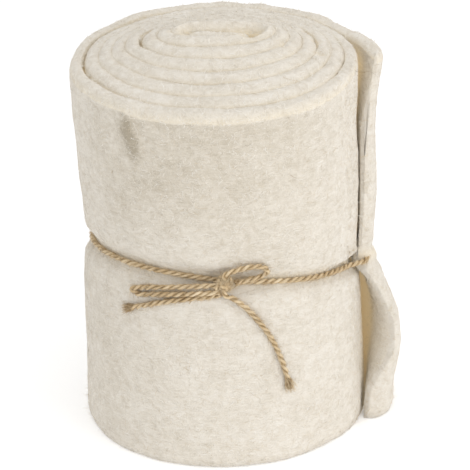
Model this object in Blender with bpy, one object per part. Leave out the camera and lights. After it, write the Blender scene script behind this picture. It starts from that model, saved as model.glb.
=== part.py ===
"""A band of thick needled wool felt wound into an upright roll, tied round the middle with a bow of jute twine.

Lengths are in millimetres here and are turned into metres when a mesh is made. +X is to the right of someone who
looks at the bow, +Y is away from them and +Z is up. Seen from above the felt winds clockwise, out from a flat
fold in the middle to a free end at the right, and a place along it is given in turns.
"""

import math

import bmesh
import bpy
import numpy as np
from mathutils import Vector

MM = 0.001

# The felt band, and the spiral that it is wound in.
BAND_HEIGHT = 150.0
FIRST_TURN = 0.12
LAST_TURN = 8.058
END_SLANT = 0.062
FOLD_HALF_LENGTH = 10.8
FOLD_CENTRE_X = 1.7
WIDE_PITCH = 5.07
DEEP_PITCH = 6.35
OUTER_EDGE_TURNS = 8.5
DRIFT = 1.1
BACK_SLACK = 1.2
GAP = 0.4
AXIS_AT = (-5.61, -0.35)

# How the winding stands: its middle has slid up, and its rims are soft.
MIDDLE_RISE = 14.5
LEVEL_FROM_TURN = 7.0
RIM_ROUND_INSIDE = 0.6
RIM_ROUND_OUTSIDE = 2.3
RIM_WAVE = 1.4
RIM_HIGH_ANGLE = 120.0
FOOT_ROUND = 1.0
FOOT_INSET = 0.8

# The free end: how far it stands off the roll at each height, how much thicker its loose edge is, and where
# its rounded lip lies between its inner face, -1, and its outer one, 1.
FREE_END = (
    # height, gap, extra thickness, lip
    (0.0, 0.6, 6.0, 0.2),
    (12.0, 1.2, 6.8, 0.3),
    (22.0, 3.4, 7.4, 0.4),
    (30.0, 5.6, 7.0, 0.4),
    (42.0, 7.2, 4.6, 0.4),
    (54.0, 3.6, 2.8, 0.2),
    (66.0, 0.5, 0.7, -0.7),
    (76.0, 0.3, 1.8, -0.7),
    (90.0, 0.3, 2.9, -0.2),
    (117.0, 0.5, 3.2, 0.0),
    (130.0, 2.2, 2.6, 0.1),
    (141.0, 4.4, 2.2, 0.1),
    (150.0, 5.0, 2.2, 0.1),
)
LIP_FROM = 8.027
LIP_STATIONS = (0.45, 0.8, 1.0)
LIP_ROUNDING = 0.93
LIFT_STARTS_LOW, LIFT_STARTS_HIGH = 7.93, 7.91
LIFT_ENDS_LOW, LIFT_ENDS_HIGH = 8.09, 7.985
THICKENS_FROM, THICKENS_TO = 7.86, 8.06

# How the wound felt swells and is drawn in, at each height above the twine, on its outermost face.
SWELL = (
    # height above the twine, swell
    (-80.0, 2.1),
    (-50.0, 1.1),
    (-32.0, 0.6),
    (-16.0, 0.1),
    (-6.0, -0.9),
    (-2.2, -4.9),
    (2.2, -4.9),
    (7.0, -1.3),
    (14.0, -1.0),
    (24.0, -0.6),
    (44.0, -0.5),
    (62.0, -0.8),
    (80.0, -0.6),
)
SWELL_SHARE_POWER = 1.6

# Places where the winding is loose and a gap shows at the top, and the turns outside it are pushed out.
LOOSE_PLACES = (
    # turn, centre angle, half width, opening, depth down from the rim, turns that it fades over
    (3.5, 172.0, 36.0, 2.2, 60.0, 9.0),
    (5.0, 10.0, 24.0, 1.3, 40.0, 2.5),
    (7.0, 0.0, 40.0, 1.0, 30.0, 1.6),
    (7.5, 168.0, 80.0, 1.6, 46.0, 3.0),
)

# The twine's loop is tilted round the roll.
TWINE_DIAMETER = 2.0
TWINE_MID_HEIGHT = 70.5
TWINE_TILT = 11.0
TWINE_HIGH_ANGLE = -125.0
TWINE_BEND_STEPS = 2

# The band of twine runs clockwise from the left of the knot, round the back and over the free end, to its right.
BAND_SPACING = 6.0
BAND_ROUTE = (
    # angle, radius from the roll's axis
    (-92.2, 48.0),
    (-105.0, 47.7),
    (-120.0, 48.3),
    (-135.0, 49.3),
    (-150.0, 50.2),
    (-165.0, 50.8),
    (-180.0, 50.8),
    (-195.0, 50.4),
    (-210.0, 49.7),
    (-225.0, 48.9),
    (-240.0, 48.5),
    (-255.0, 48.4),
    (-270.0, 48.8),
    (-285.0, 49.8),
    (-300.0, 51.1),
    (-315.0, 52.7),
    (-330.0, 54.3),
    (-345.0, 55.5),
    (-360.0, 56.6),
    (-371.0, 55.9),
    (-376.0, 53.6),
    (-381.0, 51.0),
    (-390.0, 49.9),
    (-405.0, 48.9),
    (-420.0, 48.1),
    (-435.0, 47.7),
    (-445.7, 48.0),
)

# The bow lies against the front of the roll. Each row of a route is a point x, y, z on the twine's middle line,
# counted from the roll's axis and from the floor.
LOOP_SPACING = 3.2
TAIL_SPACING = 5.0
LEFT_LOOP_ROUTE = (
    (-1.8, -52.3, 79.7),
    (-6.5, -51.3, 79.3),
    (-12.9, -49.8, 78.5),
    (-19.7, -47.8, 77.4),
    (-26.9, -44.8, 76.1),
    (-32.0, -41.9, 74.6),
    (-34.9, -40.2, 73.1),
    (-32.2, -42.0, 71.9),
    (-26.2, -45.5, 73.4),
    (-18.6, -49.0, 74.9),
    (-10.7, -51.3, 76.1),
    (-5.5, -52.2, 76.8),
    (-1.9, -52.6, 77.1),
)
RIGHT_LOOP_ROUTE = (
    (0.3, -51.6, 82.1),
    (0.4, -51.8, 83.9),
    (3.8, -51.6, 85.3),
    (9.4, -50.3, 86.1),
    (13.8, -49.1, 85.4),
    (16.3, -47.9, 83.0),
    (13.7, -48.2, 80.9),
    (9.2, -49.4, 80.3),
    (4.2, -51.0, 79.8),
)
LEFT_TAIL_ROUTE = (
    (-1.5, -50.6, 75.1),
    (-6.3, -50.9, 74.4),
    (-11.9, -50.3, 73.6),
    (-18.7, -48.5, 72.1),
    (-25.3, -46.2, 70.0),
    (-30.4, -43.8, 67.9),
    (-35.6, -40.2, 65.3),
)
RIGHT_TAIL_ROUTE = (
    (2.0, -51.6, 74.5),
    (4.2, -51.7, 72.9),
    (7.4, -51.4, 69.8),
    (11.0, -50.8, 65.0),
    (14.6, -50.2, 59.4),
    (17.5, -49.5, 53.6),
    (19.6, -49.0, 48.0),
    (21.4, -48.5, 41.9),
    (22.8, -48.1, 35.6),
)

# The knot is a small lump of crossed wraps.
KNOT_AT = (0.9, -50.3, 78.3)
KNOT_HALF_SIZE = (2.2, 2.0, 2.9)
KNOT_WRAPS = 3
KNOT_WRAP_DEPTH = 0.12
KNOT_LEAN = (0.35, 0.0, 0.94)

STATIONS_PER_TURN = 24
END_STATIONS_FROM = 7.875
END_STATIONS = 9
# Heights of the mesh rows: from the foot, from the twine, and down from the rim.
FOOT_ROWS = (FOOT_ROUND, 22.0)
TWINE_ROWS = (-18.0, -6.0, -2.2, 2.2, 7.0, 24.0, 44.0)
BELOW_RIM = 14.0

FELT_COLOUR = (0.80, 0.76, 0.68, 1.0)
TWINE_COLOUR = (0.42, 0.30, 0.17, 1.0)


def material(name, colour, roughness):
    made = bpy.data.materials.new(name)
    made.use_nodes = True
    surface = made.node_tree.nodes["Principled BSDF"]
    surface.inputs["Base Color"].default_value = colour
    surface.inputs["Roughness"].default_value = roughness
    surface.inputs["Metallic"].default_value = 0.0
    return made


def eased(low, high, value):
    """0 below low, 1 above high, and a smooth rise between them."""
    part = min(max((value - low) / (high - low), 0.0), 1.0)
    return part * part * (3.0 - 2.0 * part)


def read_table(rows, at, column):
    """The column's value at this height, on straight lines between the rows."""
    return float(np.interp(at, [row[0] for row in rows], [row[column] for row in rows]))


def angle_of(turn):
    """Degrees, counter-clockwise from +X, between -180 and 180."""
    return (-360.0 * turn + 180.0) % 360.0 - 180.0


def twine_height(angle):
    return TWINE_MID_HEIGHT + TWINE_TILT * math.cos(math.radians(angle - TWINE_HIGH_ANGLE))


def rise(turn):
    """How far this turn has slid up out of the roll."""
    return MIDDLE_RISE * max(0.0, 1.0 - turn / LEVEL_FROM_TURN)


def rim_height(turn):
    """The top of the felt at this turn. The outer turns are a little higher at the back left."""
    wave = RIM_WAVE * math.cos(math.radians(angle_of(turn) - RIM_HIGH_ANGLE))
    return BAND_HEIGHT + rise(turn) + wave * min(turn / LEVEL_FROM_TURN, 1.0)


def push(edge, height, outer_face):
    """How far loose places in the winding push this edge of a turn outwards."""
    angle = angle_of(edge)
    total = 0.0
    for turn, centre, half_width, opening, depth, fade in LOOSE_PLACES:
        step = edge - turn - (0.25 if outer_face else -0.25)
        if step < 0.0:
            continue
        off_centre = abs((angle - centre + 180.0) % 360.0 - 180.0)
        window = 1.0 - eased(0.35 * half_width, half_width, off_centre)
        from_rim = 1.0 - eased(0.2 * depth, depth, BAND_HEIGHT - height)
        total += opening * window * from_rim * max(0.0, 1.0 - max(0.0, edge - turn) / fade)
    return total


def free_end_lift(turn, height):
    up = min(max(height / BAND_HEIGHT, 0.0), 1.0)
    start = LIFT_STARTS_LOW + (LIFT_STARTS_HIGH - LIFT_STARTS_LOW) * up
    end = LIFT_ENDS_LOW + (LIFT_ENDS_HIGH - LIFT_ENDS_LOW) * up
    return read_table(FREE_END, height, 1) * eased(start, end, turn)


def felt_point(turn, height, outer_face):
    """Where the inner or the outer face of the felt is, this many turns along it and this high above the floor."""
    edge = turn + 1.0 if outer_face else turn
    angle = angle_of(edge)
    share = min(edge / OUTER_EDGE_TURNS, 1.0) ** SWELL_SHARE_POWER
    grow = share * read_table(SWELL, height - twine_height(angle), 1)
    grow += push(edge, height, outer_face)
    grow += -GAP / 2 if outer_face else GAP / 2
    grow += free_end_lift(turn, height)
    if outer_face:
        grow += read_table(FREE_END, height, 2) * eased(THICKENS_FROM, THICKENS_TO, turn)
    half_width = FOLD_HALF_LENGTH + WIDE_PITCH * edge + DRIFT * share + grow
    half_depth = DEEP_PITCH * (edge - 0.5) + grow
    along = math.tau * edge
    centre_x = FOLD_CENTRE_X - DRIFT * share + AXIS_AT[0]
    centre_y = -DEEP_PITCH / 4 + AXIS_AT[1] + BACK_SLACK * share * max(0.0, -math.sin(along))
    return np.array([centre_x + half_width * math.cos(along), centre_y - half_depth * math.sin(along), height])


def station_turns():
    """The places along the felt where its section is drawn, closer together at the free end."""
    count = round((END_STATIONS_FROM - FIRST_TURN) * STATIONS_PER_TURN)
    first = math.ceil(FIRST_TURN * STATIONS_PER_TURN) / STATIONS_PER_TURN
    wound = [FIRST_TURN] + [first + step / STATIONS_PER_TURN for step in range(count + 1)]
    wound = [turn for turn in wound if turn < END_STATIONS_FROM - 0.001]
    end = np.linspace(END_STATIONS_FROM, LIP_FROM, END_STATIONS)
    return wound + list(end) + [LIP_FROM + (LAST_TURN - LIP_FROM) * part for part in LIP_STATIONS]


def slanted(turn, height):
    """The felt was cut a little out of square, so its free end stops sooner at the top."""
    if turn <= END_STATIONS_FROM:
        return turn
    part = (turn - END_STATIONS_FROM) / (LAST_TURN - END_STATIONS_FROM)
    return turn - END_SLANT * part * height / BAND_HEIGHT


def felt_faces(turn, height):
    """The outer and the inner face. At the free end both are drawn in to a rounded lip."""
    outer = felt_point(slanted(turn, height), height, True)
    inner = felt_point(slanted(turn, height), height, False)
    part = LIP_ROUNDING * max(0.0, (turn - LIP_FROM) / (LAST_TURN - LIP_FROM))
    lip = (outer + inner) / 2 + (outer - inner) / 2 * read_table(FREE_END, height, 3)
    kept = math.sqrt(1.0 - part**2)
    return lip + (outer - lip) * kept, lip + (inner - lip) * kept


def felt_section(turn):
    """The outline of the felt's section at one station, from its outer foot over the rim to its inner foot."""
    up = rise(turn)
    twine = twine_height(angle_of(turn))
    rows = [up + row for row in FOOT_ROWS[:1]] + list(FOOT_ROWS[1:])
    rows += [twine + row for row in TWINE_ROWS]
    top = rim_height(turn)
    rows.append(top - BELOW_RIM)

    outer = [felt_faces(turn, height)[0] for height in rows + [top - RIM_ROUND_OUTSIDE]]
    inner = [felt_faces(turn, height)[1] for height in rows + [top - RIM_ROUND_INSIDE]]
    rim = sum(felt_faces(turn, top)) / 2
    across = outer[0] - inner[0]
    inset = FOOT_INSET * across / np.linalg.norm(across)
    foot_inner = inner[0] + inset
    foot_outer = outer[0] - inset
    foot_inner[2] = up
    foot_outer[2] = up
    return outer + [rim] + inner[::-1] + [foot_inner, foot_outer]


def felt_roll(finish):
    sections = [felt_section(turn) for turn in station_turns()]
    size = len(sections[0])
    points = [tuple(point * MM) for section in sections for point in section]
    faces = []
    for station in range(len(sections) - 1):
        low = station * size
        for corner in range(size):
            following = (corner + 1) % size
            faces.append((low + corner, low + following, low + size + following, low + size + corner))
    last = (len(sections) - 1) * size
    for base, start_end in ((0, True), (last, False)):
        faces += cap_faces(base, size, start_end)
    return mesh_object("felt_roll", points, faces, finish)


def cap_faces(base, size, start_end):
    """The cut end, as strips from the outer face to the inner one, a peak at the rim and a foot."""
    rows = (size - 3) // 2
    strips = []
    for row in range(rows - 1):
        strips.append((base + row, base + row + 1, base + size - 4 - row, base + size - 3 - row))
    strips.append((base + rows - 1, base + rows, base + rows + 1))
    strips.append((base, base + size - 3, base + size - 2, base + size - 1))
    return [strip[::-1] if start_end else strip for strip in strips]


def band_route():
    points = []
    for angle, radius in BAND_ROUTE:
        turn = math.radians(angle)
        points.append((radius * math.cos(turn), radius * math.sin(turn), twine_height(angle)))
    return points


def from_axis(route):
    """The places in the scene of points that are counted from the roll's axis."""
    return [(x + AXIS_AT[0], y + AXIS_AT[1], z) for x, y, z in route]


def smooth_route(route, spacing):
    """Evenly spaced points on the smooth curve through a route's own points."""
    points = np.array(route)
    before = 2 * points[0] - points[1]
    after = 2 * points[-1] - points[-2]
    knots = np.vstack([before, points, after])
    parts = np.linspace(0.0, 1.0, 24, endpoint=False)[:, None]
    fine = []
    for a, b, c, d in zip(knots, knots[1:], knots[2:], knots[3:]):
        bend = 2 * b + (c - a) * parts + (2 * a - 5 * b + 4 * c - d) * parts**2
        fine.append((bend + (3 * b - a - 3 * c + d) * parts**3) / 2)
    fine = np.vstack(fine + [points[-1:]])
    along = np.concatenate([[0.0], np.cumsum(np.linalg.norm(np.diff(fine, axis=0), axis=1))])
    places = np.linspace(0.0, along[-1], round(along[-1] / spacing) + 1)
    return np.column_stack([np.interp(places, along, fine[:, axis]) for axis in range(3)])


def twine(name, route, spacing, finish):
    curve = bpy.data.curves.new(name, "CURVE")
    curve.dimensions = "3D"
    curve.bevel_depth = TWINE_DIAMETER / 2 * MM
    curve.bevel_resolution = TWINE_BEND_STEPS
    curve.use_fill_caps = True
    points = smooth_route(from_axis(route), spacing) * MM
    spline = curve.splines.new("POLY")
    spline.points.add(len(points) - 1)
    for place, point in zip(spline.points, points):
        place.co = (*point, 1.0)
    curve.materials.append(finish)
    made = bpy.data.objects.new(name, curve)
    bpy.context.scene.collection.objects.link(made)
    return made


def twine_knot(finish):
    """A rounded lump whose surface rises and falls as the wraps cross it."""
    shape = bmesh.new()
    bmesh.ops.create_icosphere(shape, subdivisions=3, radius=1.0)
    middle = from_axis([KNOT_AT])[0]
    lean = Vector(KNOT_LEAN).normalized()
    for vertex in shape.verts:
        across = math.asin(max(-1.0, min(1.0, vertex.co.dot(lean))))
        wrap = 1.0 - KNOT_WRAP_DEPTH * (0.5 - 0.5 * math.cos(2 * KNOT_WRAPS * across))
        place = [at + half * wrap * part for at, half, part in zip(middle, KNOT_HALF_SIZE, vertex.co)]
        vertex.co = Vector(place) * MM
    mesh = bpy.data.meshes.new("twine_knot")
    shape.to_mesh(mesh)
    shape.free()
    mesh.shade_smooth()
    mesh.materials.append(finish)
    made = bpy.data.objects.new("twine_knot", mesh)
    bpy.context.scene.collection.objects.link(made)
    return made


def mesh_object(name, points, faces, finish):
    mesh = bpy.data.meshes.new(name)
    mesh.from_pydata(points, [], faces)
    mesh.validate()
    mesh.shade_smooth()
    mesh.set_sharp_from_angle(angle=math.radians(50))
    mesh.materials.append(finish)
    made = bpy.data.objects.new(name, mesh)
    bpy.context.scene.collection.objects.link(made)
    return made


def main():
    for old in list(bpy.data.objects):
        bpy.data.objects.remove(old, do_unlink=True)
    felt = material("wool_felt", FELT_COLOUR, 0.95)
    jute = material("jute_twine", TWINE_COLOUR, 0.9)
    felt_roll(felt)
    twine("twine_band", band_route(), BAND_SPACING, jute)
    twine("bow_loop_left", LEFT_LOOP_ROUTE, LOOP_SPACING, jute)
    twine("bow_loop_right", RIGHT_LOOP_ROUTE, LOOP_SPACING, jute)
    twine("tail_left", LEFT_TAIL_ROUTE, TAIL_SPACING, jute)
    twine("tail_right", RIGHT_TAIL_ROUTE, TAIL_SPACING, jute)
    twine_knot(jute)


main()
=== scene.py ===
import math

import bpy
import numpy as np
from mathutils import Matrix


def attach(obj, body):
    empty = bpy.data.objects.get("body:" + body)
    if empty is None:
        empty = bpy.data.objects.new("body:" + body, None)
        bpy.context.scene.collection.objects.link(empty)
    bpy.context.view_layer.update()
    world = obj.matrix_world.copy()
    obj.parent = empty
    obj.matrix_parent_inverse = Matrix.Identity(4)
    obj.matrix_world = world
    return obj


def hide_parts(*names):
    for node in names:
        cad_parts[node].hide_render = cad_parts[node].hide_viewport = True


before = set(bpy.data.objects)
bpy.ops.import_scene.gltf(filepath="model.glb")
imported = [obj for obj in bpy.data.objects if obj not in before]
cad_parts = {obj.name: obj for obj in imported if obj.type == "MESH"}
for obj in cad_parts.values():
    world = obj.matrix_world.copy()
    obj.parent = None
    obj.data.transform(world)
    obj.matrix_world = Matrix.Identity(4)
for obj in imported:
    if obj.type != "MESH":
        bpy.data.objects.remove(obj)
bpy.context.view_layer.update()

MM = 0.001
SHARE_OF_FUZZ = 1.0


# The roll's measures, in millimetres and in turns of the felt. Most are those of its solids.

BAND_HEIGHT = 150.0
FIRST_TURN = 0.12
LAST_TURN = 8.058
END_SLANT = 0.062
END_SLANT_FROM = 7.875
FOLD_HALF_LENGTH = 10.8
FOLD_CENTRE_X = 1.7
WIDE_PITCH = 5.07
DEEP_PITCH = 6.35
OUTER_EDGE_TURNS = 8.5
DRIFT = 1.1
BACK_SLACK = 1.2
OVERLAP, INNER_OVERLAP = 0.5, 1.1
AXIS_AT = (-5.61, -0.35)
AXIS = np.array([*AXIS_AT, 0.0])
MIDDLE_RISE = 14.5
LEVEL_FROM_TURN = 7.0
OUTERMOST_FROM = 6.98
RIM_WAVE = 1.4
RIM_HIGH_ANGLE = 120.0
RIM_RUN = 260.0
RIM_GROOVE = 0.75
EDGE_DIP = 1.5
START_DIP = 3.5
CORE_GROOVE = 2.2
OUTER_ROUND = 4.4
LOOSE_SHARE = 0.85
FOOT_ROUND = 0.9
FOOT_TUCK = 0.16
FREE_END = (
    # height, gap, extra thickness, lip
    (0.0, 0.6, 6.0, -0.8),
    (12.0, 1.2, 6.8, -0.7),
    (22.0, 3.4, 7.4, -0.1),
    (30.0, 5.6, 7.0, 0.4),
    (42.0, 7.2, 4.6, 0.4),
    (54.0, 3.6, 2.8, 0.2),
    (66.0, 0.5, 0.7, -0.7),
    (76.0, 0.3, 1.8, -0.7),
    (90.0, 0.3, 2.9, -0.7),
    (117.0, 0.5, 3.2, -0.7),
    (130.0, 2.2, 2.6, -0.5),
    (141.0, 4.4, 2.2, -0.3),
    (150.0, 5.0, 2.2, -0.2),
)
LIFT_STARTS_LOW, LIFT_STARTS_HIGH = 7.93, 7.91
LIFT_ENDS_LOW, LIFT_ENDS_HIGH = 8.09, 7.985
THICKENS_FROM, THICKENS_TO = 7.86, 8.06
LIP_FROM = 8.02
LIP_ROUNDING = 0.985
SWELL = (
    # height above the twine, how far the side stands out
    (-80.0, 2.1),
    (-50.0, 1.1),
    (-32.0, 0.6),
    (-16.0, 0.1),
    (-6.0, -0.9),
    (-2.2, -4.9),
    (2.2, -4.9),
    (7.0, -1.3),
    (14.0, -1.0),
    (24.0, -0.6),
    (44.0, -0.5),
    (62.0, -0.8),
    (80.0, -0.6),
)
SWELL_SHARE_POWER = 1.6
LOOSE_PLACES = (
    # turn, centre angle, half width, opening, depth down from the rim, turns that it fades over
    (3.5, 172.0, 36.0, 2.2, 60.0, 9.0),
    (5.0, 10.0, 24.0, 1.3, 40.0, 2.5),
    (7.0, 0.0, 40.0, 1.0, 30.0, 1.6),
    (7.5, 168.0, 80.0, 1.6, 46.0, 3.0),
)
PITS = (
    # x and y from the roll's axis, radius, depth
    (-10.8, -3.0, 2.6, 2.0),
    (13.8, -4.0, 4.4, 2.2),
    (12.2, -7.5, 3.0, 1.0),
    (34.7, 7.5, 1.8, 2.2),
    (37.4, 1.0, 1.8, 2.2),
    (39.0, -8.0, 1.8, 2.2),
    (24.4, -9.8, 1.5, 1.5),
)
COVERED_DEPTH, COVERED_HALF_HEIGHT = 4.6, 4.4
SPRUNG_BACK, SPRUNG_BACK_ABOVE, SPRUNG_BACK_HALF_HEIGHT = 2.3, 4.4, 1.6
TWINE_MID_HEIGHT = 70.5
TWINE_TILT = 11.0
TWINE_HIGH_ANGLE = -125.0
BAND_ROUTE = (
    # angle, radius from the roll's axis
    (-92.2, 48.0),
    (-105.0, 47.7),
    (-120.0, 48.3),
    (-135.0, 49.3),
    (-150.0, 50.2),
    (-165.0, 50.8),
    (-180.0, 50.8),
    (-195.0, 50.4),
    (-210.0, 49.7),
    (-225.0, 48.9),
    (-240.0, 48.5),
    (-255.0, 48.4),
    (-270.0, 48.8),
    (-285.0, 49.8),
    (-300.0, 51.1),
    (-315.0, 52.7),
    (-330.0, 54.3),
    (-345.0, 55.5),
    (-360.0, 56.6),
    (-371.0, 55.9),
    (-376.0, 53.6),
    (-381.0, 51.0),
    (-390.0, 49.9),
    (-405.0, 48.9),
    (-420.0, 48.1),
    (-435.0, 47.7),
    (-445.7, 48.0),
)
LEFT_LOOP_ROUTE = (
    (-1.8, -52.3, 79.7),
    (-6.5, -51.3, 79.3),
    (-12.9, -49.8, 78.5),
    (-19.7, -47.8, 77.4),
    (-26.9, -44.8, 76.1),
    (-32.0, -41.9, 74.6),
    (-34.9, -40.2, 73.1),
    (-32.2, -42.0, 71.9),
    (-26.2, -45.5, 73.4),
    (-18.6, -49.0, 74.9),
    (-10.7, -51.3, 76.1),
    (-5.5, -52.2, 76.8),
    (-1.9, -52.6, 77.1),
)
RIGHT_LOOP_ROUTE = (
    (0.3, -51.6, 82.1),
    (0.4, -51.8, 83.9),
    (3.8, -51.6, 85.3),
    (9.4, -50.3, 86.1),
    (13.8, -49.1, 85.4),
    (16.3, -47.9, 83.0),
    (13.7, -48.2, 80.9),
    (9.2, -49.4, 80.3),
    (4.2, -51.0, 79.8),
)
LEFT_TAIL_ROUTE = (
    (-1.5, -50.6, 75.1),
    (-6.3, -50.9, 74.4),
    (-11.9, -50.3, 73.6),
    (-18.7, -48.5, 72.1),
    (-25.3, -46.2, 70.0),
    (-30.4, -43.8, 67.9),
    (-35.6, -40.2, 65.3),
)
RIGHT_TAIL_ROUTE = (
    (2.0, -51.6, 74.5),
    (4.2, -51.7, 72.9),
    (7.4, -51.4, 69.8),
    (11.0, -50.8, 65.0),
    (14.6, -50.2, 59.4),
    (17.5, -49.5, 53.6),
    (19.6, -49.0, 48.0),
    (21.4, -48.5, 41.9),
    (22.8, -48.1, 35.6),
)
KNOT_AT = (0.9, -50.3, 78.3)


# Small helpers.


def eased(low, high, value):
    """0 below low, 1 above high, and a smooth rise between them."""
    part = np.clip((value - low) / (high - low), 0.0, 1.0)
    return part * part * (3.0 - 2.0 * part)


def read_table(rows, at, column):
    """A table's column, between its rows, at these values of its first column."""
    return np.interp(at, [row[0] for row in rows], [row[column] for row in rows])


def unit(vectors):
    length = np.linalg.norm(vectors, axis=-1, keepdims=True)
    return vectors / np.maximum(length, 1e-9)


def lattice_value(cells, seed):
    """A fixed value from -1 to 1 for each cell of a grid."""
    mixed = cells[..., 0] * 374761393 + cells[..., 1] * 668265263 + cells[..., 2] * 1274126177
    mixed = (mixed + seed * 144665) & 0xFFFFFFFF
    mixed = ((mixed ^ (mixed >> 13)) * 1103515245) & 0xFFFFFFFF
    mixed = ((mixed ^ (mixed >> 16)) * 12345677) & 0xFFFFFFFF
    return (mixed ^ (mixed >> 15)) / 2147483648.0 - 1.0


def lumps(points, size, seed):
    """Smooth lumps and hollows of about this size in millimetres, from -1 to 1."""
    scaled = points / size
    cell = np.floor(scaled).astype(np.int64)
    part = scaled - cell
    part = part * part * part * (part * (part * 6.0 - 15.0) + 10.0)
    total = 0.0
    for corner in np.ndindex(2, 2, 2):
        weight = np.prod(np.where(corner, part, 1.0 - part), axis=-1)
        total = total + weight * lattice_value(cell + np.array(corner), seed)
    return total


def distances_along(path):
    """How far along a path each of its points is."""
    return np.concatenate([[0.0], np.cumsum(np.linalg.norm(np.diff(path, axis=0), axis=1))])


def ring_faces(index):
    """Faces between rows of points, where each row is closed into a ring."""
    following = np.roll(index, -1, axis=1)
    faces = np.stack([index[:-1], following[:-1], following[1:], index[1:]], axis=-1)
    return faces.reshape(-1, 4).tolist()


def keep_on_points(mesh, name, values):
    """Keeps a value at each point of a mesh, for its finish to read."""
    layer = mesh.attributes.new(name, "FLOAT", "POINT")
    layer.data.foreach_set("value", values.astype(np.float32).ravel())


def placed(name, mesh, places, finish):
    """An object of this mesh, with its places along and across as UVs."""
    layer = mesh.uv_layers.new(name="along_and_across")
    order = np.empty(len(mesh.loops), np.int32)
    mesh.loops.foreach_get("vertex_index", order)
    layer.uv.foreach_set("vector", places[order].astype(np.float32).ravel())
    mesh.shade_smooth()
    mesh.materials.append(finish)
    made = bpy.data.objects.new(name, mesh)
    bpy.context.scene.collection.objects.link(made)
    return made


def aimed(name, data, right, up, ahead, place):
    """A camera or a light at its place, looking ahead."""
    holder = bpy.data.objects.new(name, data)
    rows = [(right[i], up[i], -ahead[i], place[i]) for i in range(3)]
    holder.matrix_world = Matrix(rows + [(0.0, 0.0, 0.0, 1.0)])
    bpy.context.scene.collection.objects.link(holder)
    return holder


def mesh_object(name, points, faces, places, finish):
    mesh = bpy.data.meshes.new(name)
    faces = np.asarray(faces, np.int32)
    mesh.vertices.add(len(points))
    mesh.vertices.foreach_set("co", (np.asarray(points) * MM).astype(np.float32).ravel())
    mesh.loops.add(faces.size)
    mesh.loops.foreach_set("vertex_index", faces.ravel())
    mesh.polygons.add(len(faces))
    sides = faces.shape[1]
    mesh.polygons.foreach_set("loop_start", np.arange(0, faces.size, sides, dtype=np.int32))
    mesh.update(calc_edges=True)
    return placed(name, mesh, places, finish)


def strands(name, starts, ways, bends, kinks, flats, lengths, widths, shades, steps, finish):
    """Fine fibres as thin ribbons.

    Each sets off along its way, bends, sways by its kink and narrows to its tip.
    """
    places = np.linspace(0.0, 1.0, steps + 1)
    part = places[None, :, None]
    run = ways[:, None] * part + bends[:, None] * part**2 + kinks[:, None] * np.sin(math.tau * part)
    middle = starts[:, None] + lengths[:, None, None] * run
    half = widths[:, None] / 2 * (1.0 - 0.75 * places[None, :] ** 3)
    edge = flats[:, None] * half[..., None]
    points = np.stack([middle - edge, middle + edge], axis=2)
    points[..., 2] = np.maximum(points[..., 2], 0.02)
    count = len(starts)
    index = np.arange(count * (steps + 1) * 2).reshape(count, steps + 1, 2)
    faces = np.stack([index[:, :-1, 0], index[:, :-1, 1], index[:, 1:, 1], index[:, 1:, 0]], axis=-1)
    uvs = np.stack(np.broadcast_arrays(part, shades[:, None, None]), axis=-1)
    uvs = np.broadcast_to(uvs, (count, steps + 1, 2, 2))
    return mesh_object(name, points.reshape(-1, 3), faces.reshape(-1, 4), uvs.reshape(-1, 2), finish)


def drawn(chance, count, *limits):
    """Random lengths, widths and shades, each between its own limits."""
    return [chance.uniform(low, high, count) for low, high in limits]


# The camera, as the photograph was taken.

CAMERA_DISTANCE = 950.0
CAMERA_SIDE = 4.606
CAMERA_HEIGHT = 574.066
CAMERA_DOWN = math.radians(27.794)
CAMERA_ROLL = math.radians(-2.096)
CAMERA_LENS = 210.95


def photographers_camera():
    camera = bpy.data.cameras.new("photo_camera")
    camera.sensor_width = 36.0
    camera.lens = CAMERA_LENS
    camera.clip_start = 0.05
    camera.clip_end = 20.0
    ahead = np.array([0.0, math.cos(CAMERA_DOWN), -math.sin(CAMERA_DOWN)])
    level_up = np.array([0.0, math.sin(CAMERA_DOWN), math.cos(CAMERA_DOWN)])
    level_right = np.array([1.0, 0.0, 0.0])
    right = level_right * math.cos(CAMERA_ROLL) + level_up * math.sin(CAMERA_ROLL)
    up = level_up * math.cos(CAMERA_ROLL) - level_right * math.sin(CAMERA_ROLL)
    x = (CAMERA_SIDE + AXIS_AT[0]) * MM
    y = (AXIS_AT[1] - CAMERA_DISTANCE) * MM
    place = (x, y, CAMERA_HEIGHT * MM)
    bpy.context.scene.camera = aimed("photo_camera", camera, right, up, ahead, place)


photographers_camera()


# Finishes.


# Painted crevice light: a warm tan tone and a faint glow painted into the gaps and grooves between the
# felt's turns, in place of the shade and bounced light there.
PAINTED_CREVICE_TONE = (0.90, 0.80, 0.61)
PAINTED_CREVICE_GLOW = (0.092, 0.077, 0.051)


class Level:
    """A number that varies over a surface. Arithmetic on such numbers adds its own Math nodes."""

    def __init__(self, tree, socket):
        self.tree = tree
        self.socket = socket

    def worked(self, operation, first, second):
        step = self.tree.nodes.new("ShaderNodeMath")
        step.operation = operation
        for socket, value in zip(step.inputs, (first, second)):
            if isinstance(value, Level):
                self.tree.links.new(value.socket, socket)
            else:
                socket.default_value = value
        return Level(self.tree, step.outputs[0])

    def __add__(self, other):
        return self.worked("ADD", self, other)

    def __radd__(self, other):
        return self.worked("ADD", other, self)

    def __sub__(self, other):
        return self.worked("SUBTRACT", self, other)

    def __rsub__(self, other):
        return self.worked("SUBTRACT", other, self)

    def __mul__(self, other):
        return self.worked("MULTIPLY", self, other)

    def __rmul__(self, other):
        return self.worked("MULTIPLY", other, self)


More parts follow.
